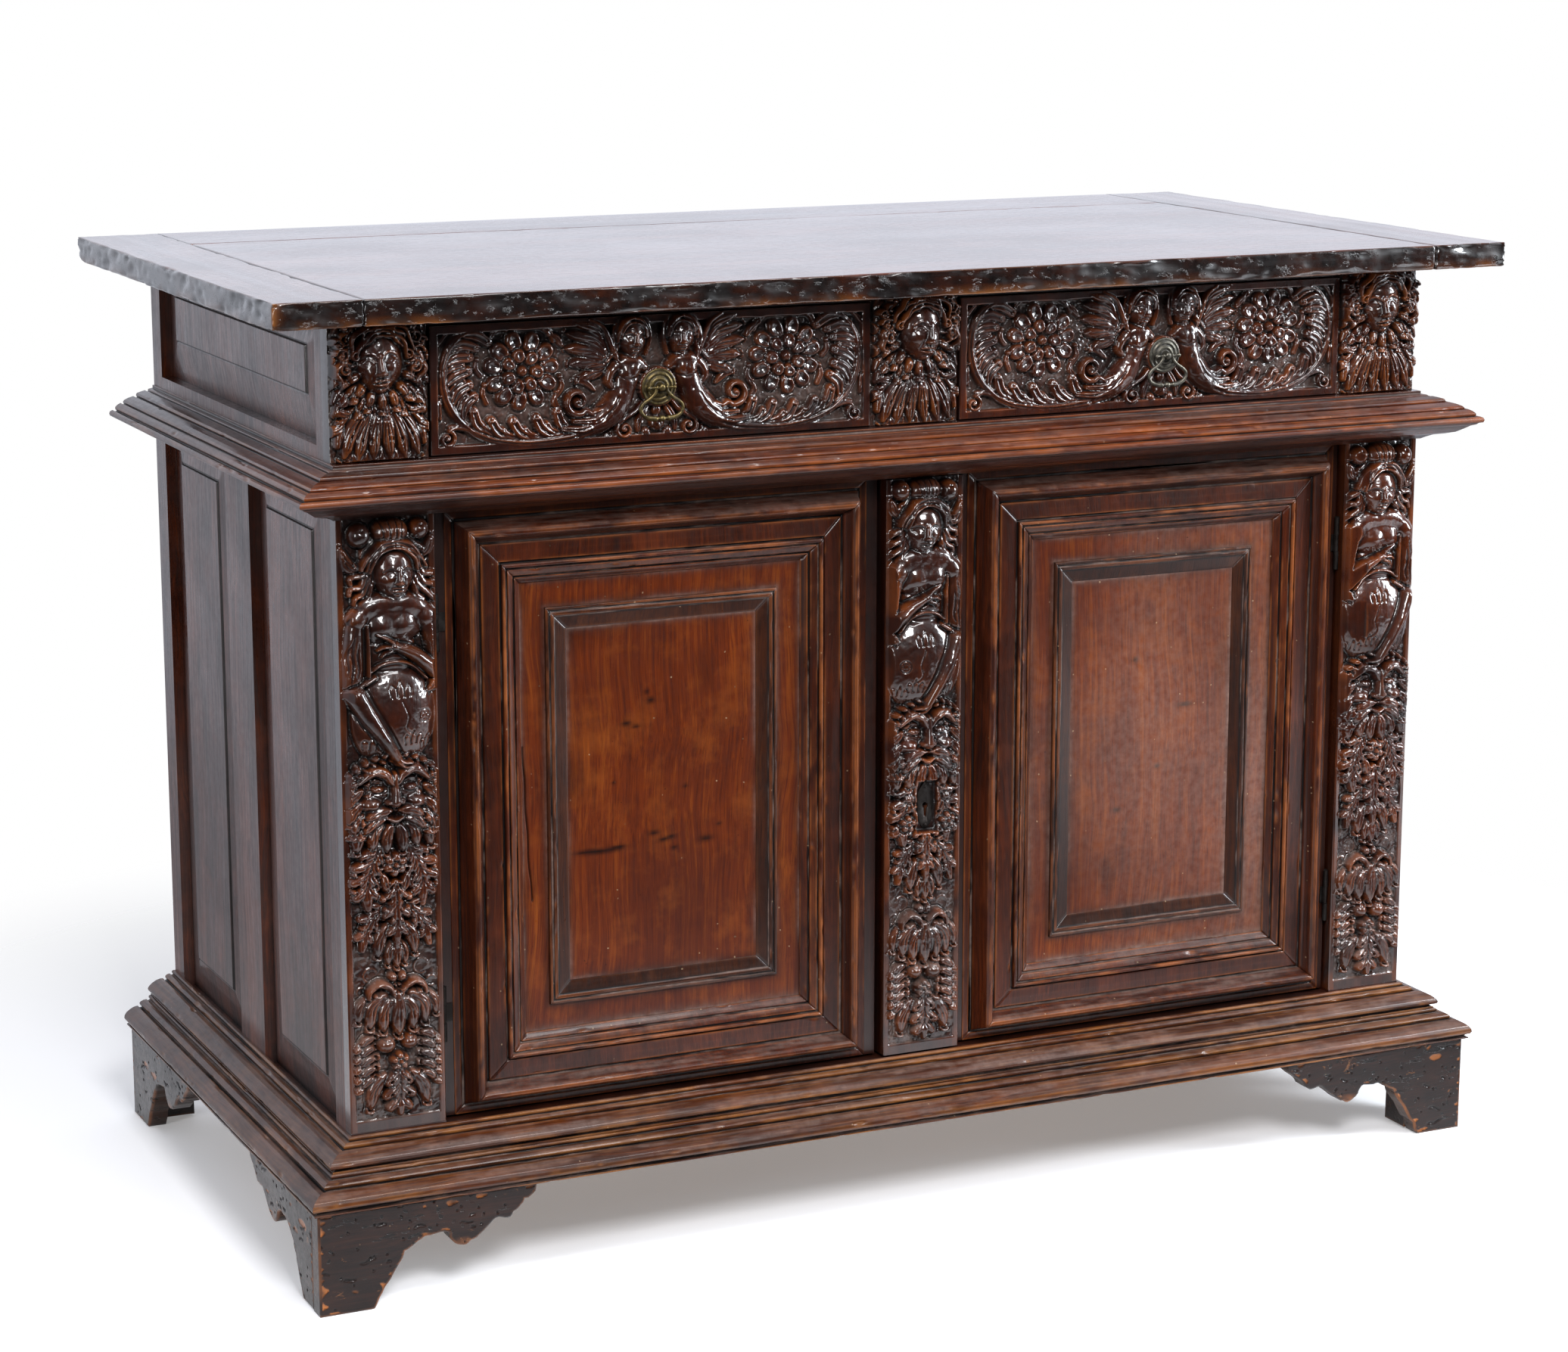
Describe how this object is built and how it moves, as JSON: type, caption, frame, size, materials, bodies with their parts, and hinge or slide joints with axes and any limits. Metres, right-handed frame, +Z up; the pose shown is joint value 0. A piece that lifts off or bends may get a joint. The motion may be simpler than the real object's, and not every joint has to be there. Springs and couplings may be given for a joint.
{
  "type": "credenza",
  "caption": "Carved walnut credenza: top with breadboard ends, carved frieze with drawers, moulded panel doors between figure pilasters, stepped base on bracket feet.",
  "frame": {"origin": "bottom centre of the bounding box, on the floor", "axes": "+Z up, front faces -Y, +X to the viewer's right"},
  "size_m": [1.438, 0.75, 1.04],
  "materials": {
    "walnut_top": "waxed dark walnut, polished",
    "walnut_carved": "carved walnut, waxed, worn red-brown on the high points",
    "walnut_sides": "waxed dark walnut",
    "walnut_moulding": "waxed walnut, dusty in the hollows",
    "walnut_feet": "dark worn walnut with worm holes",
    "walnut_door": "waxed red-brown walnut",
    "inner_wood": "raw poplar",
    "old_brass": "dull cast brass",
    "old_iron": "dark forged iron"
  },
  "bodies": {
    "case": {"top_board_front": "walnut_top", "top_board_rear": "walnut_top", "top_cleat_left": "walnut_top", "top_cleat_right": "walnut_top", "head_block_left": "walnut_carved", "head_block_center": "walnut_carved", "head_block_right": "walnut_carved", "pilaster_left": "walnut_carved", "pilaster_right": "walnut_carved", "frieze_frame_left": "walnut_sides", "frieze_frame_right": "walnut_sides", "frieze_panel_left": "walnut_sides", "frieze_panel_right": "walnut_sides", "side_frame_left": "walnut_sides", "side_frame_right": "walnut_sides", "side_panels_left": "walnut_sides", "side_panels_right": "walnut_sides", "front_rails": "walnut_sides", "waist_moulding_front": "walnut_moulding", "waist_moulding_left": "walnut_moulding", "waist_moulding_right": "walnut_moulding", "base_upper_front": "walnut_moulding", "base_upper_left": "walnut_moulding", "base_upper_right": "walnut_moulding", "base_lower_front": "walnut_moulding", "base_lower_left": "walnut_moulding", "base_lower_right": "walnut_moulding", "foot_front_left": "walnut_feet", "foot_front_right": "walnut_feet", "foot_rear_left": "walnut_feet", "foot_rear_right": "walnut_feet", "inner_boards": "inner_wood", "drawer_guides": "inner_wood", "shelf": "inner_wood", "back_boards": "inner_wood", "left_hinges_case": "old_iron", "right_hinges_case": "old_iron"},
    "left_door": {"left_door_frame": "walnut_door", "left_door_panel": "walnut_door", "left_door_moulding": "walnut_door", "left_door_panel_moulding": "walnut_door", "left_hinges_door": "old_iron"},
    "right_door": {"right_door_frame": "walnut_door", "right_door_panel": "walnut_door", "right_door_moulding": "walnut_door", "right_door_panel_moulding": "walnut_door", "pilaster_center": "walnut_carved", "escutcheon": "old_iron", "lock_case": "old_iron", "right_hinges_door": "old_iron"},
    "lock_bolt": {"lock_bolt": "old_iron"},
    "left_drawer": {"left_drawer_front": "walnut_carved", "left_drawer_box": "inner_wood", "left_handle_plate": "old_brass"},
    "right_drawer": {"right_drawer_front": "walnut_carved", "right_drawer_box": "inner_wood", "right_handle_plate": "old_brass"},
    "left_bail": {"left_bail": "old_brass"},
    "right_bail": {"right_bail": "old_brass"}
  },
  "joints": [
    {"name": "left_door_hinge", "type": "hinge", "parent": "case", "child": "left_door", "pos_m": [-0.537, -0.302, 0.4925], "axis": [0, 0, -1], "range_deg": [0, 90]},
    {"name": "right_door_hinge", "type": "hinge", "parent": "case", "child": "right_door", "pos_m": [0.546, -0.302, 0.4925], "axis": [0, 0, 1], "range_deg": [0, 90]},
    {"name": "lock_bolt_slide", "type": "slide", "parent": "right_door", "child": "lock_bolt", "axis": [-1, 0, 0], "range_m": [0, 0.013]},
    {"name": "left_drawer_slide", "type": "slide", "parent": "case", "child": "left_drawer", "axis": [0, -1, 0], "range_m": [0, 0.4]},
    {"name": "right_drawer_slide", "type": "slide", "parent": "case", "child": "right_drawer", "axis": [0, -1, 0], "range_m": [0, 0.4]},
    {"name": "left_bail_hinge", "type": "hinge", "parent": "left_drawer", "child": "left_bail", "pos_m": [-0.292, -0.316, 0.9285], "axis": [-1, 0, 0], "range_deg": [0, 90]},
    {"name": "right_bail_hinge", "type": "hinge", "parent": "right_drawer", "child": "right_bail", "pos_m": [0.31, -0.316, 0.9285], "axis": [-1, 0, 0], "range_deg": [0, 90]}
  ]
}
